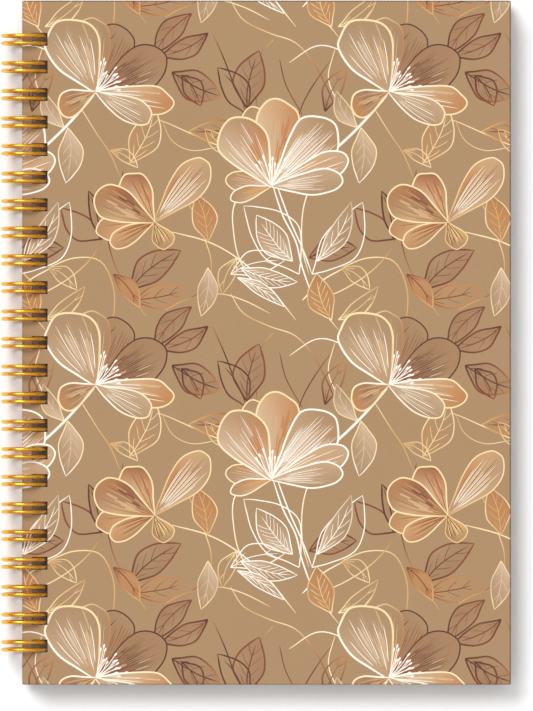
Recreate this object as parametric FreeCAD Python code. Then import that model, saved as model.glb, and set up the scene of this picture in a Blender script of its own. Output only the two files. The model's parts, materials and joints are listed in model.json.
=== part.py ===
"""Wire-bound A5 sketchbook, closed and lying flat with its front cover up.

The spine faces -X, the fore-edge +X, the head +Y and the front cover +Z.
Every physical piece is one solid, written to parts/ under the name of its node.

The shapes are drawn with the leaves' spine edges at x = 0 and the middle of the
closed block at z = 0. They are then moved so that the origin is the middle of
the book's footprint, at the level of its lowest point.
"""

import FreeCAD
import Part

import math
import os

# All dimensions are in millimetres.

# Covers: a board in a printed wrap, with a liner over the wrap's turned-in flaps
COVER_WIDTH = 150.0  # spine edge to fore-edge
COVER_HEIGHT = 210.0  # tail to head
BOARD_THICKNESS = 1.2
WRAP_THICKNESS = 0.15
FLAP_WIDTH = 15.0  # how far the wrap is turned in from the cover's edge
MITRE_GAP = 0.3  # slit between the two flaps that meet at a corner
CORNER_FOLD = 1.5  # folded paper left closed at a corner, from each edge
LINER_THICKNESS = 0.2
LINER_INSET = 2.0  # strip of wrap left showing around the liner

# Sheets of drawing paper, flush with the covers along the spine
SHEET_COUNT = 30
SHEET_THICKNESS = 0.15
LEAF_GAP = 0.01  # air between neighbouring leaves of the closed block
FORE_OVERHANG = 3.0  # cover beyond the sheets at the fore-edge
END_OVERHANG = 2.0  # cover beyond the sheets at the head and at the tail

# Twin-loop binding wire
WIRE_DIAMETER = 1.2
LOOP_PITCH = 25.4 / 3  # three loops to the inch
LOOP_SPACING = 2.3  # between the centre lines of a loop's two wires
BRIDGE_BEND_RADIUS = 1.15  # where a wire turns into the bridge to the next loop
SEAM_GAP = 0.4  # between the loops' closed ends and the bridges
SEAM_TURN = 16.0  # degrees, from under the rings' centre to the seam below the back cover
LEAST_END_MARGIN = 10.0  # from the last loop's middle to the head or tail

# Punched holes
HOLE_START = 2.9  # spine edge to the near side of a hole
HOLE_PLAY = 0.25  # beside a loop, at each end of its hole
WIRE_CLEARANCE = 0.12  # least gap from the wire to a leaf, at rest and turning

# Turning
EDGE_GAP = 0.15  # from the axis that the leaves turn about to their spine edges
RING_OFFSET = 0.7  # from that axis to the centre of the wire's rings

# Worked out from the sizes above
BOARD_TOP = WRAP_THICKNESS + BOARD_THICKNESS
FLAP_TOP = BOARD_TOP + WRAP_THICKNESS
COVER_THICKNESS = FLAP_TOP + LINER_THICKNESS
SHEET_STEP = SHEET_THICKNESS + LEAF_GAP
HALF_BLOCK = COVER_THICKNESS + (SHEET_COUNT * SHEET_STEP + LEAF_GAP) / 2

LOOP_COUNT = int((COVER_HEIGHT - 2 * LEAST_END_MARGIN) / LOOP_PITCH) + 1
WIRE_RADIUS = WIRE_DIAMETER / 2
TIP_BEND_RADIUS = LOOP_SPACING / 2
RING_X = RING_OFFSET - EDGE_GAP
HOLE_REACH = math.hypot(HALF_BLOCK, HOLE_START + EDGE_GAP)
RING_INNER_RADIUS = HOLE_REACH + RING_OFFSET + WIRE_CLEARANCE
RING_RADIUS = RING_INNER_RADIUS + WIRE_RADIUS
RING_OUTER_RADIUS = RING_RADIUS + WIRE_RADIUS
HALF_SEAM = WIRE_RADIUS + SEAM_GAP / 2
SEAM_AT = math.radians(SEAM_TURN) - math.pi / 2

HOLE_END = RING_X + RING_OUTER_RADIUS + WIRE_CLEARANCE
HOLE_HEIGHT = LOOP_SPACING + WIRE_DIAMETER + 2 * HOLE_PLAY


def seam_depth(bend_radius, side):
    """How far below the rings' centre a bend reaches, on one side of the seam."""
    reach = math.hypot(RING_RADIUS, bend_radius)
    return WIRE_RADIUS - reach * math.sin(SEAM_AT + side * math.asin(HALF_SEAM / reach))


MIDDLE_X = (RING_X - RING_OUTER_RADIUS + COVER_WIDTH) / 2
LOWEST_Z = -max(
    RING_OUTER_RADIUS,
    seam_depth(TIP_BEND_RADIUS, -1),
    seam_depth(BRIDGE_BEND_RADIUS, 1),
)


def loop_middles():
    """Each loop's place along the spine, from the tail to the head."""
    return [(i - (LOOP_COUNT - 1) / 2) * LOOP_PITCH for i in range(LOOP_COUNT)]


def plate(inset, low, high):
    """A slab of the cover's outline, set in by the same amount all round."""
    width = COVER_WIDTH - 2 * inset
    height = COVER_HEIGHT - 2 * inset
    corner = FreeCAD.Vector(inset, -height / 2, low)
    return Part.makeBox(width, height, high - low, corner)


def punched(leaf):
    """The leaf with a hole through it for every loop."""
    box = leaf.BoundBox
    holes = []
    for middle in loop_middles():
        corner = FreeCAD.Vector(HOLE_START, middle - HOLE_HEIGHT / 2, box.ZMin - 1)
        size = (HOLE_END - HOLE_START, HOLE_HEIGHT, box.ZLength + 2)
        holes.append(Part.makeBox(*size, corner))
    return leaf.cut(holes).removeSplitter().Solids[0]


def mitre_slits():
    """The diagonal slits between the wrap's flaps, one at each corner."""
    slits = []
    length = (FLAP_WIDTH - CORNER_FOLD) * math.sqrt(2) + MITRE_GAP
    for x, turn_at_tail in ((0, 45), (COVER_WIDTH, 135)):
        for side in (-1, 1):
            start = FreeCAD.Vector(CORNER_FOLD * math.sqrt(2), -MITRE_GAP / 2, BOARD_TOP)
            slit = Part.makeBox(length, MITRE_GAP, WRAP_THICKNESS, start)
            slit.rotate(FreeCAD.Vector(), FreeCAD.Vector(0, 0, 1), -side * turn_at_tail)
            slit.translate(FreeCAD.Vector(x, side * COVER_HEIGHT / 2, 0))
            slits.append(slit)
    return slits


def wrap():
    """Printed paper over the board's outer face, edges and inner border."""
    outside = plate(0, 0, FLAP_TOP)
    board_space = plate(WRAP_THICKNESS, WRAP_THICKNESS, BOARD_TOP)
    window = plate(FLAP_WIDTH, BOARD_TOP, FLAP_TOP)
    return punched(outside.cut([board_space, window] + mitre_slits()))


def board():
    """The stiff board inside the wrap."""
    return punched(plate(WRAP_THICKNESS, WRAP_THICKNESS, BOARD_TOP))


def liner():
    """Plain paper over the flaps, sunk to the board inside them."""
    border = plate(LINER_INSET, FLAP_TOP, COVER_THICKNESS)
    tray = plate(FLAP_WIDTH, BOARD_TOP, COVER_THICKNESS)
    hollow = plate(FLAP_WIDTH + LINER_THICKNESS, BOARD_TOP + LINER_THICKNESS, COVER_THICKNESS)
    return punched(border.fuse(tray).cut(hollow))


def sheet(number):
    """One sheet of drawing paper, counted from the front cover."""
    width = COVER_WIDTH - FORE_OVERHANG
    height = COVER_HEIGHT - 2 * END_OVERHANG
    low = HALF_BLOCK - COVER_THICKNESS - number * SHEET_STEP
    corner = FreeCAD.Vector(0, -height / 2, low)
    return punched(Part.makeBox(width, height, SHEET_THICKNESS, corner))


def seam_angle(bend_radius):
    """How far round from the seam's middle a bend beside it begins."""
    reach = math.hypot(RING_RADIUS, bend_radius)
    return math.asin(HALF_SEAM / reach) + math.atan2(bend_radius, RING_RADIUS)


def ring_point(angle, y, along=0.0):
    """A point on the rings' centre line, moved along its tangent there."""
    x = RING_X + RING_RADIUS * math.cos(angle) - along * math.sin(angle)
    z = RING_RADIUS * math.sin(angle) + along * math.cos(angle)
    return FreeCAD.Vector(x, y, z)


def loop_path(middle):
    """A loop's centre line, from the bridge below it to the bridge above it."""
    base = SEAM_AT + seam_angle(BRIDGE_BEND_RADIUS)
    tip = SEAM_AT + 2 * math.pi - seam_angle(TIP_BEND_RADIUS)
    half_way = (base + tip) / 2
    slant = math.sqrt(0.5)
    half_bridge = LOOP_PITCH / 2 - TIP_BEND_RADIUS - BRIDGE_BEND_RADIUS

    def bridge(side):
        leg = middle + side * TIP_BEND_RADIUS
        bend_end = ring_point(base, leg + side * BRIDGE_BEND_RADIUS, -BRIDGE_BEND_RADIUS)
        bend_middle = ring_point(
            base,
            leg + side * BRIDGE_BEND_RADIUS * (1 - slant),
            -BRIDGE_BEND_RADIUS * slant,
        )
        far_end = bend_end + FreeCAD.Vector(0, side * half_bridge, 0)
        bend = Part.Arc(bend_end, bend_middle, ring_point(base, leg))
        return [Part.LineSegment(far_end, bend_end).toShape(), bend.toShape()]

    def leg(side):
        y = middle + side * TIP_BEND_RADIUS
        ends = (ring_point(base, y), ring_point(half_way, y), ring_point(tip, y))
        return Part.Arc(*ends).toShape()

    turn = Part.Arc(
        ring_point(tip, middle - TIP_BEND_RADIUS),
        ring_point(tip, middle, TIP_BEND_RADIUS),
        ring_point(tip, middle + TIP_BEND_RADIUS),
    )
    return bridge(-1) + [leg(-1), turn.toShape(), leg(1)] + bridge(1)[::-1]


def binding_wire():
    """One continuous wire, bent into closed double loops with bridges between."""
    edges = []
    for middle in loop_middles():
        edges += loop_path(middle)
    path = Part.Wire(Part.sortEdges(edges)[0])
    start = path.OrderedVertexes[0].Point
    section = Part.Wire(Part.makeCircle(WIRE_RADIUS, start, FreeCAD.Vector(0, 1, 0)))
    return path.makePipeShell([section], True, True)


def back_cover_place(shape):
    """Lays a cover piece, drawn from its outer face up, under the sheets."""
    placed = shape.copy()
    placed.translate(FreeCAD.Vector(0, 0, -HALF_BLOCK))
    return placed


def front_cover_place(shape):
    """Turns a cover piece over and lays it on top of the sheets."""
    placed = shape.copy()
    placed.rotate(FreeCAD.Vector(), FreeCAD.Vector(1, 0, 0), 180)
    placed.translate(FreeCAD.Vector(0, 0, HALF_BLOCK))
    return placed


def sketchbook():
    """Every piece in its place, by the name of its node."""
    nodes = {}
    for name, shape in (("wrap", wrap()), ("board", board()), ("liner", liner())):
        nodes["front_" + name] = front_cover_place(shape)
        nodes["back_" + name] = back_cover_place(shape)
    for number in range(1, SHEET_COUNT + 1):
        nodes[f"sheet_{number:02d}"] = sheet(number)
    nodes["binding_wire"] = binding_wire()
    return nodes


os.makedirs("parts", exist_ok=True)
for name, shape in sketchbook().items():
    shape.translate(FreeCAD.Vector(-MIDDLE_X, 0, -LOWEST_Z))
    shape.exportStep(f"parts/{name}.step")
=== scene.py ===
"""A wire-bound sketchbook with a printed cover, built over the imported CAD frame."""
import json
import math
import random
from collections import namedtuple

import bpy
import numpy as np
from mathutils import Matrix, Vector
from mathutils.geometry import delaunay_2d_cdt

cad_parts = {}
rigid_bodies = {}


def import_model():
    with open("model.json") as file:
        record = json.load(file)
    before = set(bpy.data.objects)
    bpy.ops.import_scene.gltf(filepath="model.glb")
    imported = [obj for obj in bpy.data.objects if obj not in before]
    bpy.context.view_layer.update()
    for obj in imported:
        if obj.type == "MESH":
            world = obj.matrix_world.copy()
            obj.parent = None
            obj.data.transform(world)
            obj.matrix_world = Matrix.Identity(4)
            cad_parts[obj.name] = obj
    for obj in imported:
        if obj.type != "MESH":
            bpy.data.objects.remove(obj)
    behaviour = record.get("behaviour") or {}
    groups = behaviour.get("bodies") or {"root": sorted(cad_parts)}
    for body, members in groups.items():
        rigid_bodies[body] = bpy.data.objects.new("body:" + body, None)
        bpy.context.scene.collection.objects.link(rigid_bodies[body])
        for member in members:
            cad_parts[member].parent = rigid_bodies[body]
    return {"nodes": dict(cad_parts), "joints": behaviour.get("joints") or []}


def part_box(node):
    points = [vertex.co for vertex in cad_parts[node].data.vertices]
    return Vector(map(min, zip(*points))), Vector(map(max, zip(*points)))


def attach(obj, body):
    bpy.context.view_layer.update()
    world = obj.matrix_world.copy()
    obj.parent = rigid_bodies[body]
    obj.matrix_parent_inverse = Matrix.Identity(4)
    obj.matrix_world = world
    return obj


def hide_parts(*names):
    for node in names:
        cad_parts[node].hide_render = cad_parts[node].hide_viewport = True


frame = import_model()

bpy.context.view_layer.update()

MM = 0.001
nodes = frame["nodes"]


# ---- colours

def linear(red, green, blue):
    """A display colour, 0 to 255, as the scene-linear colour that shaders take."""
    channels = []
    for value in (red, green, blue):
        value /= 255
        channels.append(value / 12.92 if value < 0.04045 else ((value + 0.055) / 1.055) ** 2.4)
    return tuple(channels)


INKS = {
    "ground": linear(159, 127, 92),
    "white": linear(246, 240, 228),
    "pale": linear(204, 180, 152),
    "cream": linear(238, 214, 164),
    "gold": linear(208, 162, 100),
    "copper": linear(180, 120, 70),
    "rust": linear(120, 58, 34),
    "brown": linear(72, 28, 18),
    "umber": linear(146, 107, 75),
    "petal": linear(184, 153, 120),
    "sheen": linear(198, 162, 120),
    "shade": linear(154, 117, 83),
    "amber": linear(172, 128, 84),
}


# ---- drawing, in millimetres

FILL_GRAIN = 1.6  # between the points inside a filled shape, which carry its shading
LEAF_LINES = {"brown": 0.54, "rust": 0.48, "copper": 0.4}  # the dark outlines are the thickest
PALE_LEAF_LINE = 0.34
WOBBLE = 0.04  # unsteadiness of a petal's outline, as a share of its width


def spline(points, steps=5):
    """A smooth line through the points."""
    p = np.array(points, float)
    p = np.vstack([2 * p[0] - p[1], p, 2 * p[-1] - p[-2]])
    t = np.linspace(0, 1, steps, endpoint=False)[:, None]
    runs = []
    for a, b, c, d in zip(p, p[1:], p[2:], p[3:]):
        runs.append(0.5 * (2 * b + (c - a) * t + (2 * a - 5 * b + 4 * c - d) * t**2
                           + (3 * b - a - 3 * c + d) * t**3))
    return np.vstack(runs + [p[-2][None]])


def ramp(inks, t):
    """The colour at t, 0 to 1, along evenly spaced inks."""
    stops = np.array([INKS[ink] for ink in inks.split()])
    if len(stops) == 1:
        return np.repeat(stops, len(t), 0)
    where = np.linspace(0, 1, len(stops))
    return np.stack([np.interp(t, where, stops[:, i]) for i in range(3)], 1)


class Drawing:
    """Filled shapes and strokes, each lying over the ones before it."""

    def __init__(self, seed):
        self.marks = []
        self.random = random.Random(seed)

    def line(self, points, width, inks, ends=(0.35, 0.2)):
        """A stroke with a width that swells from its ends, and a colour that changes along it."""
        p = np.array(points, float)
        step = np.linalg.norm(np.diff(p, axis=0), axis=1)
        t = np.concatenate([[0], np.cumsum(step)]) / step.sum()
        along = np.gradient(p, axis=0)
        along /= np.linalg.norm(along, axis=1)[:, None]
        side = np.stack([-along[:, 1], along[:, 0]], 1)
        swell = np.minimum(1, np.minimum(ends[0] + 5 * t, ends[1] + 5 * (1 - t)))
        half = (width / 2 * swell)[:, None] * side
        rim = np.empty((2 * len(p), 2))
        rim[0::2], rim[1::2] = p + half, p - half
        tone = ramp(inks, t)
        faces = [[2 * i + 1, 2 * i + 3, 2 * i + 2, 2 * i] for i in range(len(p) - 1)]
        run = np.diff(p, axis=0)
        axis = run / (run**2).sum(1)[:, None]
        patch = np.stack([tone[:-1], (tone[:-1] + tone[1:]) / 2, tone[1:]], 1)
        patch = np.repeat(patch[:, :, None, :], 2, 2)
        self.marks.append((rim, faces, p[:-1], axis, np.zeros_like(axis), patch))

    def fill(self, outline, start, end, half_width, left, right):
        """A filled shape shaded from start to end, and from its left side to its right."""
        outline = np.array(outline, float)
        x, y = outline.T
        if (x * np.roll(y, -1) - np.roll(x, -1) * y).sum() < 0:
            outline = outline[::-1]
        run = np.array(end, float) - start
        across = np.array([-run[1], run[0]]) / np.linalg.norm(run) / half_width
        lo, hi = outline.min(0), outline.max(0)
        columns, rows = (np.arange(a + FILL_GRAIN / 2, b, FILL_GRAIN) for a, b in zip(lo, hi))
        x, y = np.meshgrid(columns, rows)
        inner = np.stack([x.ravel(), y.ravel()], 1)
        points = np.vstack([outline, inner[inside(inner, outline)]])
        patch = np.array([[INKS[r], INKS[l]] for l, r in zip(left.split(), right.split())])
        self.marks.append((points, [list(range(len(outline)))], np.array([start], float),
                           (run / (run @ run))[None], across[None], patch[None]))


def inside(points, outline):
    """Which of the points lie within the outline."""
    x, y = points.T[:, :, None]
    x1, y1 = outline.T[:, None]
    x2, y2 = np.roll(outline, -1, 0).T[:, None]
    rise = np.where(y2 == y1, 1, y2 - y1)
    crossed = ((y1 > y) != (y2 > y)) & (x < x1 + (y - y1) / rise * (x2 - x1))
    return crossed.sum(1) % 2 == 1


def turned(points, at, degrees):
    """Points drawn along +X from the origin, moved to a place and turned."""
    a = math.radians(degrees)
    x, y = np.array(points, float).T
    return np.stack([at[0] + x * math.cos(a) - y * math.sin(a),
                     at[1] + x * math.sin(a) + y * math.cos(a)], 1)


def petal(d, at, degrees, length, width, rim_inks, shades, veins=0, vein_inks="white",
          line=0.5, lean=0.0, vein_width=0.17, reach=(0.6, 0.95), brush=None):
    """A petal from its base: filled, veined in a fan, outlined and then brushed."""
    r = d.random
    w = width / 2

    def wobble():
        return r.uniform(-WOBBLE, WOBBLE) * width
    top = [(0, 0.05), (0.22, 0.42), (0.5, 0.86), (0.76, 1.0), (0.93, 0.66), (1.0, 0.12)]
    low = [(0.96, -0.42), (0.82, -0.86), (0.56, -0.97), (0.26, -0.5), (0, -0.05)]
    shape = [(x * length + (wobble() if 0.3 < x else 0),
              (y + lean * x * 0.6) * w + (wobble() if 0.2 < x else 0)) for x, y in top + low]
    outline = turned(spline(shape), at, degrees)
    axis_end = turned([(length, lean * w * 0.6)], at, degrees)[0]
    if shades:
        left, right = shades
        d.fill(outline[:-1], at, axis_end, w, left, right)
    for k in range(veins):
        s = -0.86 + 1.72 * (k + 0.5 + r.uniform(-0.25, 0.25)) / veins
        stop = r.uniform(*reach) * (1 - 0.22 * abs(s) ** 2.5)
        start = r.uniform(0.06, 0.3)
        run = []
        for t in (start, (start + stop) / 2, stop):
            spread = math.sin(min(1, t * 1.15) * math.pi / 2)
            run.append((t * length, (s * spread * 0.9 + lean * t * 0.6) * w))
        inks = vein_inks[k % len(vein_inks)] if isinstance(vein_inks, tuple) else vein_inks
        d.line(turned(spline(run, 4), at, degrees), vein_width * r.uniform(0.7, 1.3), inks, (0.5, 0.15))
    d.line(outline, line, rim_inks, (0.5, 0.5))
    if brush:
        brushed(d, at, degrees, length, width, *brush)


def leaf(d, at, degrees, length, width, inks, bend, shades, veins, vein_inks=None, rib=True):
    """A pointed leaf from its stalk, with a bent midrib."""
    r = d.random
    line = LEAF_LINES.get(inks.split()[0], PALE_LEAF_LINE)
    w = width / 2

    def spot(t, side):
        return (t * length, bend * length * 4 * t * (1 - t) * 0.8 + side * w)
    up = [spot(0, 0), spot(0.14, 0.4), spot(0.38, 1.0), spot(0.66, 0.86), spot(0.88, 0.36), spot(1, 0)]
    down = [spot(0, 0), spot(0.16, -0.44), spot(0.42, -1.0), spot(0.68, -0.82), spot(0.9, -0.3), spot(1, 0)]
    up, down = (turned(spline(side, 5), at, degrees) for side in (up, down))
    end = turned([(length, 0)], at, degrees)[0]
    if shades:
        d.fill(np.vstack([up, down[-2:0:-1]]), at, end, w, *shades)
    vein_inks = vein_inks or inks
    for k in range(veins):
        t = 0.1 + 0.56 * (k // 2) / max(1, (veins - 1) // 2)
        side = 1 if k % 2 else -1
        full = 1 - abs(2 * (t + 0.12) - 1) ** 2
        run = [spot(t, 0), spot(t + 0.09, side * 0.35 * full), spot(t + 0.22, side * 0.72 * full)]
        d.line(turned(spline(run, 3), at, degrees), 0.15 * r.uniform(0.8, 1.3), vein_inks, (0.7, 0.2))
    if rib:
        run = [spot(0, 0), spot(0.3, 0.02), spot(0.6, -0.02), spot(r.uniform(0.82, 0.94), 0)]
        d.line(turned(spline(run, 4), at, degrees), line * 0.7, vein_inks, (0.9, 0.2))
    d.line(up, line, inks, (0.8, 0.4))
    d.line(down, line, inks, (0.8, 0.4))


def stamens(d, at, first, last, count, lengths, thick=0.34):
    """Fine stalks fanning from a flower's heart, each with a small head."""
    r = d.random
    for k in range(count):
        angle = first + (last - first) * (k + r.uniform(0.2, 0.8)) / count
        length = r.uniform(*lengths)
        bow = r.uniform(-0.07, 0.07) * length
        start = turned([(r.uniform(0, 1.2), r.uniform(-0.1, 0.1) * 2)], at, angle)[0]
        stalk = turned(spline([(0, 0), (length / 2, bow), (length, 0)], 4), start, angle)
        d.line(stalk, thick * 0.62, "white", (0.8, 0.8))
        head = turned([(length + further, 0) for further in (-0.5, -0.1, 0.4, 0.8)], start, angle)
        d.line(head, thick * 1.5, "white", (0.4, 0.4))


def brushed(d, at, degrees, length, width, inks, count, lean=0.0):
    """Soft streaks along a petal, like a dry brush, in one ink on each side."""
    r = d.random
    inks = inks.split()
    for _ in range(count):
        s = r.uniform(-0.72, 0.72)
        a = r.uniform(0.2, 0.62)
        b = a + r.uniform(0.16, 0.3)
        run = [(t * length, (s * math.sin(min(1, t * 1.15) * math.pi / 2) * 0.9 + lean * t * 0.6) * width / 2)
               for t in (a, (a + b) / 2, b)]
        shade = inks[0] if s > 0 else inks[1]
        d.line(turned(spline(run, 3), at, degrees), r.uniform(0.3, 0.6), shade, (0.1, 0.1))


# ---- the repeating floral print

TILE = 90.0  # the print repeats at this distance, across and down
PALE_LEAF = ("pale petal ground", "petal ground ground")
COPPER_LEAF = ("copper amber copper", "ground copper umber")
DUSK_LEAF = ("umber ground umber", "ground umber ground")
GOLD_LEAF = ("amber amber ground", "amber ground ground")


# Stalks and tendrils: points, width and inks
VINES = (
    ([(18, -33), (23, -41), (27, -47), (30, -54)], 0.3, "cream gold gold"),
    ([(36, -35), (43, -37), (50, -40), (59, -44), (66, -46)], 0.34, "gold cream cream"),
    ([(43, -37), (46, -43), (52, -46), (60, -45)], 0.26, "gold cream"),
    ([(46, -71), (57, -74), (66, -79), (75, -87), (84, -98)], 0.42, "cream cream white cream"),
    ([(77, -57), (80, -66), (84, -74), (86, -82), (90, -92), (97, -101)], 0.46, "white white cream"),
    ([(78.3, -57), (82, -67), (86, -76), (89, -84)], 0.42, "white"),
    ([(92, -50), (88, -58), (86, -66), (86, -76), (88, -84)], 0.36, "white cream"),
    ([(70, -56), (65, -63), (65, -72), (67, -80), (73, -90)], 0.36, "white cream"),
    ([(56, -73), (58, -80), (57, -87), (51, -92)], 0.32, "cream gold copper rust"),
    ([(51, -62), (54, -68), (57, -74)], 0.3, "gold cream"),
    ([(64, 0), (68, -6), (76, -10), (84, -13), (90, -20), (95, -30), (98, -38)], 0.34,
     "cream gold cream copper rust brown"),
    ([(77, -12), (73, -17), (72, -24), (72, -33), (73, -38)], 0.34, "gold brown rust gold"),
    ([(58, -9), (62, -18), (66, -28), (71, -35)], 0.38, "copper brown brown rust"),
    ([(84, -41), (86, -32), (92, -22), (100, -12), (108, -2)], 0.34, "rust brown copper cream"),
    ([(86, -35), (81, -26), (79, -18)], 0.3, "rust brown"),
    ([(24, -64), (26, -72), (28, -80), (32, -88), (38, -97)], 0.36, "brown rust copper gold"),
    ([(31, -52), (30, -58), (28, -64), (30, -70)], 0.34, "rust brown brown"),
    ([(8, -82), (16, -79), (24, -80), (28, -88), (28, -97), (26, -104)], 0.36,
     "cream cream gold gold copper"),
    ([(-4, -92), (2, -86), (9, -82)], 0.42, "white cream"),
    ([(90, -92), (98, -89), (106, -84), (112, -78), (116, -70)], 0.34, "cream cream gold rust"),
    ([(44, -95), (50, -92), (60, -90), (68, -92), (76, -96)], 0.34, "gold copper cream cream"),
    ([(-8, -19), (0, -14), (7, -15), (14, -20)], 0.34, "cream white cream"),
    ([(6, -15), (4, -24), (8, -33), (13, -39)], 0.3, "cream white"),
)

# Leaves: stalk end, direction, length, width, inks, bend, shades and veins, and for some the
# veins' inks and whether there is a midrib
LEAVES = (
    # In dark inks
    ((46, -22), -26, 17, 9, "brown rust copper", -0.06, DUSK_LEAF, 6, "brown"),
    ((49, -23), -58, 11, 6, "brown rust", 0.1, None, 4),
    ((69, -33), 78, 18, 9.5, "brown rust rust", 0.08, DUSK_LEAF, 8, "brown rust"),
    ((69, -35), 122, 17, 8, "rust brown brown", -0.1, None, 0),
    ((68, -38), 187, 17, 6.5, "brown copper gold", 0.08, GOLD_LEAF, 5, "rust"),
    ((57, -10), 206, 16, 6, "brown rust brown", 0.1, DUSK_LEAF, 5, "rust"),
    ((33, -89), 38, 20, 8.5, "brown rust rust", 0.09, DUSK_LEAF, 7, "brown rust"),
    ((34, -92), 12, 17, 7, "rust copper copper", -0.05, GOLD_LEAF, 6, "rust"),
    ((25, -73), 144, 16, 7.5, "brown rust rust", 0.12, None, 0, None, False),
    ((24, -73), 104, 15, 4, "brown brown", -0.06, DUSK_LEAF, 0),
    ((28, -84), -52, 13, 5, "rust copper gold", 0.1, COPPER_LEAF, 4, "rust"),
    ((52, -94), 228, 17, 6.5, "rust brown", -0.1, DUSK_LEAF, 6, "rust"),
    ((88, -79), 12, 15, 7, "rust rust brown", 0.1, DUSK_LEAF, 5, "brown"),
    ((93, -34), 63, 15, 5.5, "brown copper", 0.09, None, 4),
    # In pale inks
    ((14, -39), 268, 17, 7.5, "cream cream white", 0.09, PALE_LEAF, 7, "pale"),
    ((13, -39), 120, 13, 5, "cream pale", 0.14, PALE_LEAF, 5, "pale"),
    ((33, -50), 66, 19, 9, "gold cream cream", -0.08, GOLD_LEAF, 7, "cream"),
    ((66, -46), 146, 12, 5, "cream gold", 0.12, None, 3),
    ((57, -74), 104, 15, 7.5, "gold cream gold", -0.07, COPPER_LEAF, 7, "gold"),
    ((57, -82), 262, 15, 6, "cream pale cream", 0.08, PALE_LEAF, 6, "pale"),
    ((85, -84), 129, 27, 14, "white", -0.1, None, 0, None, False),
    ((83, -80), 128, 18, 8.5, "white", 0.05, PALE_LEAF, 13, "white"),
    ((89, -84), 55, 27, 11.5, "white white", -0.1, None, 0, None, False),
    ((90.5, -80), 60, 21, 6, "white pale", -0.1, PALE_LEAF, 7, "white"),
    ((64, -84), 14, 17, 7.5, "white white", 0.12, None, 4, "white"),
    ((67, -82), -14, 18, 5.5, "white", -0.08, PALE_LEAF, 12, "white"),
    ((66, -85), -32, 17, 3.6, "white", 0.06, PALE_LEAF, 9, "white"),
    ((95, -98), 108, 15, 8, "cream gold cream", 0.1, COPPER_LEAF, 9, "gold cream"),
    ((97, -98), 40, 16, 4.5, "cream gold", -0.1, None, 3),
    ((8, -82), -38, 11, 5, "gold cream", 0.14, None, 3),
    ((66, -79), 248, 12, 5, "cream gold", -0.12, None, 3),
    ((27, -46), -32, 10, 3.6, "gold cream", 0.14, None, 2),
)


def open_blossom(d, at):
    """A blossom seen from its side, opening to the right."""
    petal(d, at, 66, 22, 13, "rust brown brown brown", ("ground umber shade", "ground shade ground"), 11,
          "umber rust", 0.42, 0.2, vein_width=0.2)
    d.line(turned(spline([(4, 1.5), (12, 3.4), (19, 1.6)]), at, 66), 0.34, "umber brown")
    petal(d, at, 27, 24, 14, "rust brown brown rust", ("ground umber shade", "sheen ground shade"), 30,
          "rust rust brown umber", 0.44, vein_width=0.15, reach=(0.55, 0.93), brush=("umber petal", 9))
    petal(d, at, 94, 23, 11, "white cream copper copper", ("sheen ground ground", "ground shade ground"), 9,
          ("pale", "sheen"), 0.42, -0.1)
    petal(d, at, 117, 24, 17, "white white cream cream gold", ("petal petal ground", "amber ground ground"),
          17, ("white", "pale", "pale", "petal"), 0.62, -0.1, vein_width=0.2, reach=(0.5, 0.97),
          brush=("pale sheen", 14, -0.1))
    petal(d, at, -9, 24, 8.5, "white cream cream", ("petal sheen copper", "pale amber copper"), 10,
          ("white", "pale"), 0.46, brush=("sheen copper", 7))
    petal(d, at, -27, 19, 8, "white cream white", ("petal petal petal", "petal ground ground"), 9,
          ("white", "pale"), 0.46, -0.1)
    petal(d, at, 198, 12.5, 8, "cream cream white", ("copper ground copper", "sheen umber copper"), 5,
          ("sheen", "rust"), 0.52, 0.5, brush=("sheen rust", 6))
    stamens(d, at, 2, 84, 15, (5.0, 11.5))


def upright_blossom(d, at):
    """A blossom seen from the front, its petals spread above it."""
    petal(d, at, 170, 14, 6, "cream", ("pale petal ground", "sheen copper ground"), 5, "pale", 0.42)
    petal(d, at, 196, 13, 4.5, "cream white", ("sheen petal ground", "copper copper ground"), 4, "gold",
          0.42)
    petal(d, at, 104, 25, 10, "cream", ("petal sheen ground", "ground shade ground"), 4, "pale", 0.4)
    petal(d, at, 84, 27, 13, "white cream cream white", ("pale pale sheen", "sheen copper copper"), 6,
          ("sheen", "gold"), 0.55, brush=("sheen copper", 18))
    petal(d, at, 44, 27, 16, "white", ("petal petal ground", "pale copper ground"), 34,
          ("white", "white", "pale"), 0.56, reach=(0.72, 0.97))
    petal(d, at, 20, 25, 8.5, "white", ("petal sheen petal", "pale copper petal"), 11, ("white", "pale"),
          0.5)
    petal(d, at, 5, 22, 7.5, "white", ("pale petal petal", "petal ground ground"), 12, ("white", "pale"),
          0.5)
    petal(d, at, 124, 24, 15, "white cream cream white", ("pale pale petal", "sheen copper shade"), 16,
          ("white", "pale", "petal"), 0.58, brush=("pale copper", 14))
    stamens(d, at, 52, 128, 9, (4.5, 9.5), 0.42)


def side_blossom(d, at):
    """A smaller blossom seen from behind, facing left, with one long leaf."""
    petal(d, at, 49, 25, 10.5, "gold cream cream gold", ("copper copper sheen", "pale petal ground"), 24,
          ("white", "cream", "pale", "rust"), 0.4, reach=(0.7, 0.97))
    petal(d, at, 188, 18, 7.5, "cream", ("copper sheen copper", "sheen copper ground"), 8, ("rust", "gold"),
          0.42)
    petal(d, at, 206, 15, 6, "cream", ("copper ground copper", "rust copper sheen"), 6, ("rust", "gold"),
          0.42)
    petal(d, at, 120, 17, 10, "cream", ("sheen pale copper", "copper copper rust"), 10,
          ("sheen", "rust", "gold"), 0.48, brush=("sheen copper", 9))
    petal(d, at, 154, 20, 11, "cream", ("copper sheen umber", "umber rust copper"), 12,
          ("rust", "gold", "umber"), 0.48, brush=("sheen rust", 9))
    petal(d, at, -62, 9, 6.5, "cream gold", ("copper gold ground", "rust umber ground"), 12,
          ("cream", "brown", "gold"), 0.36)


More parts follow.
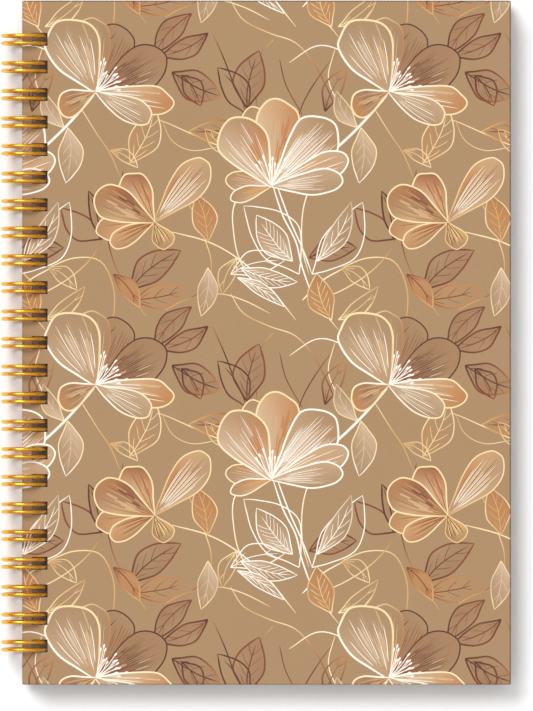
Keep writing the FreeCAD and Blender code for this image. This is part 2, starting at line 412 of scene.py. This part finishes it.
def floral():
    """One repeat of the print: three flowers among vines and leaves."""
    d = Drawing(8)
    stem = [(22, -29), (15, -37), (9, -43), (2, -49), (-3, -53)]
    d.line(spline(stem), 0.75, "white white", (0.6, 0.6))
    for points, width, inks in VINES:
        d.line(spline(points), width, inks, (0.5, 0.3))
    for row in LEAVES:
        leaf(d, *row)
    open_blossom(d, (22.5, -28))
    side_blossom(d, (40.5, -68))
    upright_blossom(d, (76.5, -57))
    return d.marks


# ---- covers

ROUND = 0.35  # radius of the wrap over the board's edges
PAPER = 0.15  # thickness of the wrap
FLAP = 15.0  # how far the wrap is turned in from the cover's edge
CORNER_FOLD = 1.5  # folded paper left closed at a corner
HALF_MITRE = 0.21  # half the slit between two flaps, measured along the cover's edge
SPINE = 180  # the direction, in degrees, that the spine edge faces
RIM_STEP = 2.5  # between the points along a cover's edge
CLOSE = 1e-5  # points nearer than this are one

# Painted shade: the paper over an edge is darkened in its colour, most over the fore-edge and head, less
# elsewhere
FAR_RIM_PAINTED_SHADE = 0.36
NEAR_RIM_PAINTED_SHADE = 0.8
PAINTED_SHADE_BANDS = 4  # the upper rounding and the upright side
CORE = linear(226, 212, 190)  # the wrap's unprinted back and cut edges
# Painted shade: the holes' cut walls get a cool tint standing for the blue-grey shade inside the holes
HOLE_WALL_PAINTED_SHADE = linear(222, 229, 244)  # cut walls of the holes, cooler than the paper

# The unfolded paper's layout, in millimetres
LAYOUT_SIZE = 250.0
LAYOUT_MIDDLE = np.array([96, 125])  # of the cover in the layout
BACK_LAYOUT_SHIFT = 118
BACK_LAYOUT_SCALE = 0.25
HOLE_WALL_LAYOUT = 0.15  # width of a hole's wall

# A column runs from the rim down the profile, and ends with these five points
UNDER, FLAP_END, FLAP_BACK, BOARD_FOOT, BOARD_HEAD = -5, -4, -3, -2, -1
Column = namedtuple("Column", "at degrees steps come go")


def scene_object(name, data):
    made = bpy.data.objects.new(name, data)
    bpy.context.scene.collection.objects.link(made)
    return made


def cad_box_mm(name):
    low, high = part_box(name)
    return np.array(low) / MM, np.array(high) / MM


def hole_boxes():
    """The punched holes' outlines, read from the CAD frame."""
    low, high = cad_box_mm("sheet_01")
    co = np.array([v.co for v in nodes["sheet_01"].data.vertices]) / MM
    xs, ys = (sorted({round(float(c), 3) for c in co[:, axis] if low[axis] + 0.01 < c < high[axis] - 0.01})
              for axis in (0, 1))
    return [(xs[0], xs[-1], y0, y1) for y0, y1 in zip(ys[0::2], ys[1::2])]


HOLES = hole_boxes()


def rectangle(x0, x1, y0, y1):
    """The outline, counterclockwise, with points along its sides and close to its corners."""
    def side(a, b):
        count = round((b - a) / RIM_STEP)
        steps = list(np.linspace(a, b, count + 1))
        return steps[:1] + [a + 0.5, a + CORNER_FOLD] + steps[1:-1] + [b - CORNER_FOLD, b - 0.5]
    points = [(x, y0) for x in side(x0, x1)] + [(x1, y) for y in side(y0, y1)]
    points += [(x0 + x1 - x, y1) for x in side(x0, x1)] + [(x0, y0 + y1 - y) for y in side(y0, y1)]
    return points


def printed_face(bounds, origin, marks):
    """The outer face cut along every printed edge: points, triangles, and their corners' colours."""
    x0, x1, y0, y1 = bounds
    verts, faces, shadings = [], [], []

    def add(points, polygons, *shading):
        base = len(verts)
        verts.extend(points)
        faces.extend([[base + i for i in f] for f in polygons])
        shadings.extend(zip(*shading))
    nowhere = np.zeros((1, 2))
    plain = (nowhere, nowhere, nowhere, np.tile(INKS["ground"], (1, 3, 2, 1)))
    outline = rectangle(x0, x1, y0, y1)
    add(outline, [range(len(outline))], *plain)
    for points, polygons, s, a, c, p in marks:
        lo, hi = points.min(0), points.max(0)
        first = np.ceil((np.array([x0, y0]) - origin - hi) / TILE).astype(int)
        last = np.floor((np.array([x1, y1]) - origin - lo) / TILE).astype(int)
        for i in range(first[0], last[0] + 1):
            for j in range(first[1], last[1] + 1):
                shift = origin + TILE * np.array([i, j])
                add(points + shift, polygons, s + shift, a, c, p)
    printed = len(faces)
    for hx0, hx1, hy0, hy1 in HOLES:
        add([(hx0, hy0), (hx1, hy0), (hx1, hy1), (hx0, hy1)], [range(4)], *plain)
    cut, _, triangles, _, _, owners = delaunay_2d_cdt([Vector(v) for v in verts], [], faces, 0, CLOSE, True)
    points = np.array([v[:] for v in cut])
    kept = [(t, max(o)) for t, o in zip(triangles, owners) if o and min(o) == 0 and max(o) < printed]
    tris = np.array([t for t, _ in kept])
    owner = np.array([o for _, o in kept])
    a, b, c = (points[tris[:, i]] for i in range(3))
    flipped = np.cross(b - a, c - a) < 0
    tris[flipped] = tris[flipped][:, ::-1]
    start, axis, across, patch = (np.array(v) for v in zip(*shadings))
    away = points[tris] - start[owner][:, None]
    s = np.clip((away * axis[owner][:, None]).sum(2), 0, 1)
    t = np.clip((away * across[owner][:, None]).sum(2), -1, 1) / 2 + 0.5
    shade = patch[owner][:, None]
    near = np.minimum(s * 2, 1)[..., None, None]
    far = np.maximum(s * 2 - 1, 0)[..., None, None]
    row = shade[..., 0, :, :] * (1 - near) + shade[..., 1, :, :] * (near - far) + shade[..., 2, :, :] * far
    tone = row[..., 0, :] * (1 - t[..., None]) + row[..., 1, :] * t[..., None]
    return points, tris, tone


def rims(tris):
    """The open edges of a triangulated face, chained into loops that keep the face on their left."""
    edges = {(int(a), int(b)): (k, i) for k, t in enumerate(tris) for i, (a, b) in
             enumerate(((t[0], t[1]), (t[1], t[2]), (t[2], t[0])))}
    follow = {a: (b, where) for (a, b), where in edges.items() if (b, a) not in edges}
    loops = []
    while follow:
        first = next(iter(follow))
        at, loop = first, []
        while at in follow:
            after, where = follow.pop(at)
            loop.append((at, where))
            at = after
        loops.append(loop)
    return sorted(loops, key=len, reverse=True)


def wrap_profile(thick):
    """(outward from the flat face's rim, depth below it, run along the paper) over a cover's edge."""
    steps = [(0.0, 0.0)]
    for k in (1, 2, 3):
        a = math.pi / 6 * k
        steps.append((ROUND * math.sin(a), ROUND * (1 - math.cos(a))))
    for k in (0, 1, 2):
        a = math.pi / 6 * k
        steps.append((ROUND * math.cos(a), thick - ROUND * (1 - math.sin(a))))
    steps.append((0.0, thick))
    run, out = 0.0, []
    for before, (across, depth) in zip(steps[:1] + steps, steps):
        run += math.dist(before, (across, depth))
        out.append((across, depth, run))
    return out


def outward(x, y, bounds):
    """The directions, in degrees, that a cover's rim faces at a point: one, or a fan round a corner."""
    x0, x1, y0, y1 = bounds
    sides = [degrees for gap, degrees in ((y - y0, -90), (x - x1, 0), (y - y1, 90), (x - x0, SPINE))
             if abs(gap) < 10 * CLOSE]
    if len(sides) == 1:
        return sides
    a, b = (SPINE, 270) if sides == [-90, SPINE] else sides
    return [a, a + 30, a + 60, b]


class Shell:
    """Points, faces, and for each face's corners a colour and a place in the unfolded layout."""

    def __init__(self):
        self.points, self.faces, self.tones, self.flat = [], [], [], []

    def point(self, x, y, z):
        self.points.append((x, y, z))
        return len(self.points) - 1

    def face(self, corners):
        """Adds a face from its corners' (point, colour, layout), leaving out points that repeat."""
        kept = [c for c, before in zip(corners, corners[-1:] + corners[:-1]) if c[0] != before[0]]
        if len(kept) > 2:
            self.faces.append([c[0] for c in kept])
            self.tones.append([c[1] for c in kept])
            self.flat.append([c[2] for c in kept])

    def turn_over(self):
        for rows in (self.faces, self.tones, self.flat):
            for row in rows:
                row.reverse()


class PrintedWrap:
    """The printed paper over a cover board: outer face, rounded edges, turned-in flaps and plain back."""

    def __init__(self, node, facing, origin, marks):
        low, high = cad_box_mm(node)
        self.shell = Shell()
        self.facing = facing
        self.thick = high[2] - low[2]
        self.top = high[2] if facing > 0 else low[2]
        self.bounds = (low[0] + ROUND, high[0] - ROUND, low[1] + ROUND, high[1] - ROUND)
        self.middle = (low + high)[:2] / 2
        self.profile = wrap_profile(self.thick)
        rim, holes = self.outer_face(origin, marks)
        columns = self.columns(rim)
        self.edges(columns)
        self.spine_flap([c for c in columns if c.degrees == SPINE])
        self.back(columns, holes)
        if facing < 0:
            self.shell.turn_over()

    def point(self, x, y, depth):
        """Adds a point at a depth below the outer face."""
        return self.shell.point(x, y, self.top - self.facing * depth)

    def back_layout(self, point):
        """A small copy of the cover beside the unfolded print, for the paper's plain back."""
        x, y = self.shell.points[point][:2]
        return (self.middle[0] + BACK_LAYOUT_SHIFT + BACK_LAYOUT_SCALE * (x - self.middle[0]),
                self.middle[1] + BACK_LAYOUT_SCALE * (y - self.middle[1]))

    def flap_layout(self, point):
        """Beyond the spine edge, where the flap lies when the paper is unfolded."""
        x, y = self.shell.points[point][:2]
        return 2 * self.bounds[0] - self.profile[-1][2] - x, y

    def outer_face(self, origin, marks):
        """Adds the printed face, and returns its outer rim and the rims of its holes."""
        points, tris, tones = printed_face(self.bounds, np.array(origin), marks)
        used = np.unique(tris).tolist()
        self.ids = dict(zip(used, range(len(used))))
        self.places = [tuple(p) for p in points.tolist()]
        self.tones = [[tuple(c) for c in row] for row in tones.tolist()]
        for i in used:
            self.point(*self.places[i], 0)
        for t, c in zip(tris.tolist(), self.tones):
            self.shell.face([(self.ids[i], c[k], self.places[i]) for k, i in enumerate(t)])
        outer, *holes = rims(tris)
        return outer, holes

    def columns(self, rim):
        """The paper's course from each point of the rim: over the edge and back under the board."""
        run = self.profile[-1][2]
        columns = []
        for k, (at, (face, corner)) in enumerate(rim):
            x, y = self.places[at]
            face_before, corner_before = rim[k - 1][1]
            come = self.tones[face_before][(corner_before + 1) % 3]
            go = self.tones[face][corner]
            away = min(max(abs(x - cx), abs(y - cy)) for cx in self.bounds[:2] for cy in self.bounds[2:])
            slit = HALF_MITRE if away > CORNER_FOLD + 0.01 else 0
            fan = outward(x, y, self.bounds)
            reach = 0 if len(fan) > 1 else min(FLAP - ROUND, away - slit)
            inner = None
            for degrees in fan:
                dx, dy = math.cos(math.radians(degrees)), math.sin(math.radians(degrees))
                steps = [(self.ids[at], (x, y))]
                for across, depth, along in self.profile[1:-1]:
                    steps.append((self.point(x + dx * across, y + dy * across, depth),
                                  (x + dx * along, y + dy * along)))
                inner = inner or self.inner_points(x, y, dx, dy, reach, len(fan) > 1)
                for point, further in zip(inner, (0, reach, reach + PAPER)):
                    steps.append((point, (x + dx * (run + further), y + dy * (run + further))))
                steps += [(point, self.back_layout(point)) for point in inner[3:]]
                columns.append(Column(at, degrees, steps, come, go))
        return columns

    def inner_points(self, x, y, dx, dy, reach, at_corner):
        """A column's points inside the edge, in the order of UNDER to BOARD_HEAD."""
        gap = ROUND - PAPER
        flap = (x - dx * reach, y - dy * reach)
        side = (x + dx * gap, y + dy * gap)
        if at_corner:
            side = (x + math.copysign(gap, x - self.middle[0]), y + math.copysign(gap, y - self.middle[1]))
        under = self.point(x, y, self.thick)
        flap_end = self.point(*flap, self.thick) if reach else under
        return (under, flap_end, self.point(*flap, self.thick - PAPER),
                self.point(*side, self.thick - PAPER), self.point(*side, PAPER))

    def edges(self, columns):
        """Joins each column to the next, except for the flap along the spine."""
        for a, b in zip(columns[-1:] + columns[:-1], columns):
            # Painted shade on the edge bands: darker over the fore-edge and head than over the spine and tail
            painted_shade_a, painted_shade_b = (FAR_RIM_PAINTED_SHADE if -45 < c.degrees < 135 else NEAR_RIM_PAINTED_SHADE for c in (a, b))
            inks = (b.come if a.at == b.at else a.go, b.come)
            for i in range(len(a.steps) - 1):
                band = i - len(a.steps)
                if a.degrees == b.degrees == SPINE and band in (UNDER, FLAP_BACK):
                    continue
                ink_a, ink_b = inks if band < FLAP_END else (CORE, CORE)
                # Painted shade: these bands' colours are darkened
                if i < PAINTED_SHADE_BANDS:
                    ink_a, ink_b = tuple(painted_shade_a * v for v in ink_a), tuple(painted_shade_b * v for v in ink_b)
                corners = [(b.steps[i], ink_b), (a.steps[i], ink_a),
                           (a.steps[i + 1], ink_a), (b.steps[i + 1], ink_b)]
                self.shell.face([(point, ink, self.back_layout(point) if band > FLAP_END else flat)
                                 for (point, flat), ink in corners])

    def spine_flap(self, columns):
        """The flap along the spine, with the holes through it."""
        columns.sort(key=lambda c: -self.places[c.at][1])
        printed, plain = ([c.steps[near][0] for c in columns] + [c.steps[far][0] for c in columns[::-1]]
                          for near, far in ((UNDER, FLAP_END), (BOARD_FOOT, FLAP_BACK)))
        inks = {c.steps[k][0]: c.go for c in columns for k in (UNDER, FLAP_END)}
        printed_holes, plain_holes = [], []
        for x0, x1, y0, y1 in HOLES:
            corners = ((x0, y0), (x1, y0), (x1, y1), (x0, y1))
            outer = [self.point(*c, self.thick) for c in corners]
            inner = [self.point(*c, self.thick - PAPER) for c in corners]
            for k in range(4):
                wall = (outer[k], outer[k - 1], inner[k - 1], inner[k])
                # Painted shade: cool tint on the flap's hole walls
                self.shell.face([(point, HOLE_WALL_PAINTED_SHADE, self.flap_layout(point)) for point in wall])
            printed_holes.append(outer)
            plain_holes.append(inner)
        self.panel([printed] + printed_holes, False, lambda i: inks.get(i, INKS["ground"]), self.flap_layout)
        self.panel([plain] + plain_holes, True, lambda i: CORE, self.back_layout)

    def back(self, columns, holes):
        """The walls of the outer face's holes, and the plain back against the board."""
        loops = [[c.steps[BOARD_HEAD][0] for c in columns]]
        for loop in holes:
            centre = np.mean([self.places[at] for at, _ in loop], 0)
            wall = []
            for at, _ in loop:
                x, y = self.places[at]
                inward = (x + HOLE_WALL_LAYOUT * np.sign(centre[0] - x),
                          y + HOLE_WALL_LAYOUT * np.sign(centre[1] - y))
                wall.append((self.ids[at], (x, y), self.point(x, y, PAPER), inward))
            for a, b in zip(wall[-1:] + wall[:-1], wall):
                # Painted shade: cool tint on the outer face's hole walls
                self.shell.face([(b[0], HOLE_WALL_PAINTED_SHADE, b[1]), (a[0], HOLE_WALL_PAINTED_SHADE, a[1]),
                                 (a[2], HOLE_WALL_PAINTED_SHADE, a[3]), (b[2], HOLE_WALL_PAINTED_SHADE, b[3])])
            loops.append([w[2] for w in wall][::-1])
        self.panel(loops, False, lambda i: CORE, self.back_layout)

    def panel(self, loops, upward, ink, layout):
        """A flat face inside the first loop of points and outside the others, all counterclockwise."""
        points = self.shell.points
        loops = [[i for i, before in zip(loop, loop[-1:] + loop[:-1]) if i != before] for loop in loops]
        ids = [i for loop in loops for i in loop]
        polygons, count = [], 0
        for loop in loops:
            polygons.append(list(range(count, count + len(loop))))
            count += len(loop)
        places = [Vector(points[i][:2]) for i in ids]
        _, _, triangles, sources, _, owners = delaunay_2d_cdt(places, [], polygons, 0, CLOSE, True)
        for t, loops_around in zip(triangles, owners):
            if list(loops_around) == [0]:
                corners = [ids[sources[i][0]] for i in t]
                a, b, c = (points[i] for i in corners)
                turns_left = (b[0] - a[0]) * (c[1] - a[1]) > (b[1] - a[1]) * (c[0] - a[0])
                if turns_left != upward:
                    corners.reverse()
                self.shell.face([(i, ink(i), layout(i)) for i in corners])


def printed_wrap(name, node, body, facing, origin, marks):
    """A cover's wrap in place of its CAD node."""
    paper = PrintedWrap(node, facing, origin, marks)
    wrap = mesh_object(name, paper.shell, paper.middle - LAYOUT_MIDDLE, LAYOUT_SIZE)
    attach(wrap, body)
    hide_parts(node)
    return wrap


def mesh_object(name, shell, layout_corner, layout_size):
    """A mesh from a shell in millimetres, with its colours and its unfolded layout."""
    mesh = bpy.data.meshes.new(name)
    mesh.from_pydata((np.array(shell.points) * MM).tolist(), [], shell.faces)
    tones = np.array([c for row in shell.tones for c in row])
    ink = mesh.color_attributes.new("Print", "FLOAT_COLOR", "CORNER")
    ink.data.foreach_set("color", np.hstack([tones, np.ones((len(tones), 1))]).ravel().astype(np.float32))
    layout = mesh.uv_layers.new(name="OFBake")
    flat = (np.array([c for row in shell.flat for c in row]) - layout_corner) / layout_size
    layout.data.foreach_set("uv", flat.ravel().astype(np.float32))
    mesh.update()
    return scene_object(name, mesh)


# ---- binding wire

WIRE_RADIUS = 0.6
LOOP_PITCH = 25.4 / 3
TIP_BEND = 1.15  # where a loop's two legs join
BRIDGE_BEND = 1.15  # where a leg turns into the bridge to the next loop
HALF_SEAM = 0.8
SEAM_AT = math.radians(16) - math.pi / 2  # the seam lies below the back cover
WIRE_SIDES = 14
LEG_STEPS = 44
TURN_STEPS = 13
BEND_STEPS = 7

# The unrolled wire's layout, in millimetres: a strip for each loop, side by side
STRIP_PITCH = 4.5
STRIP_WIDTH = 3.8
WIRE_LAYOUT_CORNER = np.array([-1.0, -1.0])
WIRE_LAYOUT_SIZE = 110.0
WIRE_ENDS_LAYOUT = (105, 100)

wire_joint = next(j for j in frame["joints"] if j["name"] == "wire_spin")
ring_x, ring_z = wire_joint["pos_m"][0] / MM, wire_joint["pos_m"][2] / MM
ring_radius = cad_box_mm("binding_wire")[1][2] - ring_z - WIRE_RADIUS


def seam_angle(bend_radius):
    """How far round from the seam's middle a bend beside it begins."""
    reach = math.hypot(ring_radius, bend_radius)
    return math.asin(HALF_SEAM / reach) + math.atan2(bend_radius, ring_radius)


def ring_point(angle, y, along=0.0):
    return (ring_x + ring_radius * math.cos(angle) - along * math.sin(angle), y,
            ring_z + ring_radius * math.sin(angle) + along * math.cos(angle))


def wire_path():
    """The centre line of the whole wire, from tail to head."""
    base = SEAM_AT + seam_angle(BRIDGE_BEND)
    tip = SEAM_AT + 2 * math.pi - seam_angle(TIP_BEND)
    half_bridge = LOOP_PITCH / 2 - TIP_BEND - BRIDGE_BEND
    quarter = np.linspace(0, math.pi / 2, BEND_STEPS)
    path = []
    for i in range(len(HOLES)):
        middle = (i - (len(HOLES) - 1) / 2) * LOOP_PITCH

        def bend(side):
            leg = middle + side * TIP_BEND
            arc = [ring_point(base, leg + side * BRIDGE_BEND * (1 - math.cos(a)), -BRIDGE_BEND * math.sin(a))
                   for a in quarter]
            end = ring_point(base, leg + side * (BRIDGE_BEND + half_bridge), -BRIDGE_BEND)
            return arc + ([end] if side < 0 or i == len(HOLES) - 1 else [])
        angles = np.linspace(base, tip, LEG_STEPS)[1:-1]
        legs = [[ring_point(a, middle + side * TIP_BEND) for a in angles] for side in (-1, 1)]
        turn = [ring_point(tip, middle - TIP_BEND * math.cos(a), TIP_BEND * math.sin(a))
                for a in np.linspace(0, math.pi, TURN_STEPS)]
        path += bend(-1)[::-1] + legs[0] + turn + legs[1][::-1] + bend(1)
    return np.array(path)


def binding_wire():
    """One round wire along its path, with its cut ends closed."""
    path = wire_path()
    ahead = np.gradient(path, axis=0)
    ahead /= np.linalg.norm(ahead, axis=1)[:, None]
    side = np.cross(ahead[0], (0, 0, 1.0))
    rings = []
    for p, t in zip(path, ahead):
        side = side - t * (side @ t)
        side /= np.linalg.norm(side)
        up = np.cross(t, side)
        turn = np.linspace(0, 2 * math.pi, WIRE_SIDES, endpoint=False)[:, None]
        rings.append(p + WIRE_RADIUS * (np.cos(turn) * side + np.sin(turn) * up))
    points = np.vstack(rings)
    length = np.concatenate([[0], np.cumsum(np.linalg.norm(np.diff(path, axis=0), axis=1))])
    loop_length = length[-1] / len(HOLES)
    shell = Shell()
    shell.points = [tuple(p) for p in points.tolist()]
    gold = INKS["gold"]
    for i in range(len(path) - 1):
        strip = int((length[i] + length[i + 1]) / 2 / loop_length)
        ends = [length[i] - strip * loop_length, length[i + 1] - strip * loop_length]
        for k in range(WIRE_SIDES):
            across = [strip * STRIP_PITCH + STRIP_WIDTH * side / WIRE_SIDES for side in (k, k + 1)]
            shell.face([((i + on) * WIRE_SIDES + (k + turn) % WIRE_SIDES, gold, (across[turn], ends[on]))
                        for turn, on in ((0, 0), (1, 0), (1, 1), (0, 1))])
    last = (len(path) - 1) * WIRE_SIDES
    for ids in (list(range(WIRE_SIDES))[::-1], [last + k for k in range(WIRE_SIDES)]):
        shell.face([(i, gold, (WIRE_ENDS_LAYOUT[0] + i % 3, WIRE_ENDS_LAYOUT[1] + i % 5)) for i in ids])
    wire = mesh_object("binding_wire_twin_loop", shell, WIRE_LAYOUT_CORNER, WIRE_LAYOUT_SIZE)
    for face in wire.data.polygons:
        face.use_smooth = len(face.vertices) == 4
    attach(wire, "wire")
    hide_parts("binding_wire")
    return wire


# ---- materials

class Material:
    """A node material built up around one Principled shader."""

    def __init__(self, name, roughness, metallic=0.0, specular=0.5):
        self.made = bpy.data.materials.new(name)
        self.made.use_nodes = True
        self.tree = self.made.node_tree
        self.shader = self.tree.nodes["Principled BSDF"]
        self.shader.inputs["Metallic"].default_value = metallic
        self.shader.inputs["Roughness"].default_value = roughness
        self.shader.inputs["Specular IOR Level"].default_value = specular
        self.place = self.tree.nodes.new("ShaderNodeTexCoord").outputs["Object"]

    def link(self, a, b):
        self.tree.links.new(a, b)

    def noise(self, scale, detail=2.0, stretch=None):
        """Noise over the object, scale cells to the metre."""
        node = self.tree.nodes.new("ShaderNodeTexNoise")
        node.inputs["Scale"].default_value = scale
        node.inputs["Detail"].default_value = detail
        place = self.place
        if stretch:
            mapping = self.tree.nodes.new("ShaderNodeMapping")
            mapping.inputs["Scale"].default_value = stretch
            self.link(place, mapping.inputs["Vector"])
            place = mapping.outputs["Vector"]
        self.link(place, node.inputs["Vector"])
        return node.outputs["Fac"]

    def spread(self, value, low, high, lowest=0.3, highest=0.7):
        """Noise mapped to a range."""
        node = self.tree.nodes.new("ShaderNodeMapRange")
        for name, number in (("From Min", lowest), ("From Max", highest), ("To Min", low), ("To Max", high)):
            node.inputs[name].default_value = number
        self.link(value, node.inputs["Value"])
        return node.outputs["Result"]

    def mix(self, share, a, b, mode="MIX"):
        node = self.tree.nodes.new("ShaderNodeMix")
        node.data_type = "RGBA"
        node.blend_type = mode
        for value, socket in ((share, node.inputs[0]), (a, node.inputs[6]), (b, node.inputs[7])):
            if isinstance(value, (int, float)):
                socket.default_value = value
            elif isinstance(value, tuple):
                socket.default_value = (*value, 1.0)
            else:
                self.link(value, socket)
        return node.outputs[2]

    def attribute(self, name):
        node = self.tree.nodes.new("ShaderNodeAttribute")
        node.attribute_name = name
        return node.outputs["Color"]

    def hole_walls(self):
        """1 on the upright cut walls of the punched holes, where the painted shade tint goes, and 0
        elsewhere.
        """
        def math_node(operation, a, b):
            node = self.tree.nodes.new("ShaderNodeMath")
            node.operation = operation
            for value, socket in ((a, node.inputs[0]), (b, node.inputs[1])):
                if isinstance(value, float):
                    socket.default_value = value
                else:
                    self.link(value, socket)
            return node.outputs[0]

        def parts(vector):
            node = self.tree.nodes.new("ShaderNodeSeparateXYZ")
            self.link(vector, node.inputs[0])
            return node.outputs
        margin = 0.2  # millimetres beyond the row of holes
        normal = parts(self.tree.nodes.new("ShaderNodeTexCoord").outputs["Normal"])
        x = parts(self.place)["X"]
        upright = math_node("LESS_THAN", math_node("ABSOLUTE", normal["Z"], 0.0), 0.5)
        past_start = math_node("GREATER_THAN", x, float((HOLES[0][0] - margin) * MM))
        before_end = math_node("LESS_THAN", x, float((HOLES[0][1] + margin) * MM))
        between = math_node("MULTIPLY", past_start, before_end)
        within = math_node("LESS_THAN", math_node("ABSOLUTE", parts(self.place)["Y"], 0.0),
                           float((HOLES[-1][3] + margin) * MM))
        return math_node("MULTIPLY", math_node("MULTIPLY", upright, between), within)

    def bump(self, height, distance, strength=1.0):
        node = self.tree.nodes.new("ShaderNodeBump")
        node.inputs["Distance"].default_value = distance
        node.inputs["Strength"].default_value = strength
        before = self.shader.inputs["Normal"]
        if before.is_linked:
            self.link(before.links[0].from_socket, node.inputs["Normal"])
        self.link(height, node.inputs["Height"])
        self.link(node.outputs["Normal"], before)

    def finish(self, base, rough=None):
        self.link(base, self.shader.inputs["Base Color"])
        if rough is not None:
            self.link(rough, self.shader.inputs["Roughness"])
        return self.made


def printed_paper():
    m = Material("printed_wrap_paper", 0.5, specular=0.15)
    fibre = m.noise(5200, 4)
    cloud = m.noise(38, 3)
    base = m.attribute("Print")
    base = m.mix(m.spread(cloud, 0.0, 0.07), base, linear(150, 112, 80))
    base = m.mix(m.spread(fibre, 0.0, 0.06), base, linear(236, 214, 186))
    m.bump(m.noise(2600, 4), 0.00001, 0.5)
    return m.finish(base, m.spread(m.noise(900, 3), 0.42, 0.58))


def drawing_paper():
    m = Material("drawing_paper_white", 0.85, specular=0.2)
    tooth = m.noise(1500, 5)
    layer = m.noise(60, 1, (0.2, 0.2, 40.0))
    base = m.mix(m.spread(layer, 0.0, 1.0), linear(234, 231, 224), linear(214, 209, 199))
    base = m.mix(m.spread(m.noise(260, 4), 0.0, 0.25), base, linear(214, 208, 196))
    # Painted shade: a cool tint on the holes' cut walls
    base = m.mix(m.hole_walls(), base, HOLE_WALL_PAINTED_SHADE)
    m.bump(tooth, 0.00004, 0.6)
    return m.finish(base, m.spread(tooth, 0.8, 0.95))


def liner_paper():
    m = Material("liner_paper_ivory", 0.7, specular=0.25)
    fibre = m.noise(900, 4, (1.0, 3.0, 1.0))
    base = m.mix(m.spread(fibre, 0.0, 0.5), linear(233, 228, 217), linear(218, 211, 196))
    # Painted shade: a cool tint on the holes' cut walls
    base = m.mix(m.hole_walls(), base, HOLE_WALL_PAINTED_SHADE)
    m.bump(m.noise(2200, 4), 0.00002, 0.5)
    return m.finish(base, m.spread(fibre, 0.62, 0.8))


def grey_board():
    m = Material("grey_board", 0.9, specular=0.2)
    chips = m.noise(2600, 4)
    base = m.mix(m.spread(chips, 0.0, 1.0), linear(168, 160, 148), linear(122, 114, 104))
    base = m.mix(m.spread(m.noise(700, 2, (0.3, 0.3, 8.0)), 0.0, 0.4), base, linear(196, 188, 174))
    # Painted shade: a cool tint on the holes' cut walls
    base = m.mix(m.hole_walls(), base, HOLE_WALL_PAINTED_SHADE)
    m.bump(chips, 0.00008, 0.8)
    return m.finish(base, m.spread(chips, 0.82, 0.96))


def gold_wire():
    m = Material("gold_wire_lacquer", 0.26, 1.0)
    tone = m.noise(220, 3)
    base = m.mix(m.spread(tone, 0.0, 0.6), linear(242, 180, 58), linear(228, 160, 40))
    base = m.mix(m.spread(m.noise(3500, 2), 0.0, 0.12), base, linear(255, 214, 120))
    m.bump(m.noise(1800, 3, (1.0, 0.2, 1.0)), 0.00001, 0.3)
    return m.finish(base, m.spread(m.noise(1500, 3), 0.2, 0.34))


def floor_material():
    m = Material("studio_floor", 0.9, specular=0.0)
    base = m.mix(m.spread(m.noise(3, 2), 0.0, 1.0), linear(249, 249, 250), linear(251, 251, 251))
    return m.finish(base)


# ---- the object

low, high = cad_box_mm("front_wrap")
drawn = floral()
front = printed_wrap("front_cover_wrap", "front_wrap", "front_cover", 1, (low[0], high[1]), drawn)
back = printed_wrap("back_cover_wrap", "back_wrap", "back_cover", -1, (low[0] + TILE / 2, high[1]), drawn)
wire = binding_wire()
for made, material in ((front, printed_paper()), (wire, gold_wire())):
    made.data.materials.append(material)
back.data.materials.append(front.data.materials[0])
finishes = {"sheet": drawing_paper(), "liner": liner_paper(), "board": grey_board()}
for name, node in nodes.items():
    for part, finish in finishes.items():
        if part in name:
            node.material_slots[0].material = finish


# ---- studio

def floor():
    """A wide pale floor, level around the object and rising very gently far from it."""
    radii = (0.5, 1.0, 2.0, 4.0, 7.0, 12.0, 20.0, 40.0)
    level_reach, slope, below, sectors = 2.0, 0.01, 0.2 * MM, 48
    points = [(0.0, 0.0, -below)]
    for radius in radii:
        height = slope * max(0.0, radius - level_reach) - below
        for k in range(sectors):
            a = 2 * math.pi * k / sectors
            points.append((radius * math.cos(a), radius * math.sin(a), height))
    faces = [(0, 1 + k, 1 + (k + 1) % sectors) for k in range(sectors)]
    for ring in range(len(radii) - 1):
        inner, outer = 1 + ring * sectors, 1 + (ring + 1) * sectors
        for k in range(sectors):
            n = (k + 1) % sectors
            faces.append((inner + k, outer + k, outer + n, inner + n))
    mesh = bpy.data.meshes.new("studio_floor")
    mesh.from_pydata(points, [], faces)
    mesh.materials.append(floor_material())
    scene_object("studio_floor", mesh)


def lights():
    sun = bpy.data.lights.new("key", "SUN")
    sun.energy = 2.05
    sun.angle = math.radians(32)
    toward_sun = Vector((-0.46, 0.62, 1.0))
    scene_object("key", sun).rotation_euler = toward_sun.to_track_quat("Z", "Y").to_euler()
    world = bpy.data.worlds.new("studio")
    world.use_nodes = True
    tree = world.node_tree
    sky = tree.nodes["Background"]
    place = tree.nodes.new("ShaderNodeTexCoord")
    split = tree.nodes.new("ShaderNodeSeparateXYZ")
    rise = tree.nodes.new("ShaderNodeMapRange")
    tree.links.new(place.outputs["Generated"], split.inputs[0])
    tree.links.new(split.outputs["Z"], rise.inputs["Value"])
    for name, number in (("From Min", 0.0), ("From Max", 0.85), ("To Min", 0.27), ("To Max", 0.88)):
        rise.inputs[name].default_value = number
    tree.links.new(rise.outputs["Result"], sky.inputs["Strength"])
    sky.inputs["Color"].default_value = (1.0, 1.0, 1.0, 1.0)
    bpy.context.scene.world = world


def camera():
    """Straight above the cover, through a long lens."""
    frame_height, lens, sensor = 218.25 * MM, 700.0, 36.0
    tailward = 3.94 * MM  # the cover sits a little above the picture's middle
    low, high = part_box("front_wrap")
    middle = (low + high) / 2
    data = bpy.data.cameras.new("camera")
    data.lens, data.sensor_width = lens, sensor
    made = scene_object("camera", data)
    made.location = (middle.x, middle.y - tailward, high.z + frame_height * lens / sensor)
    bpy.context.scene.camera = made
    bpy.context.scene.view_settings.view_transform = "Standard"


floor()
lights()
camera()

bpy.context.view_layer.update()
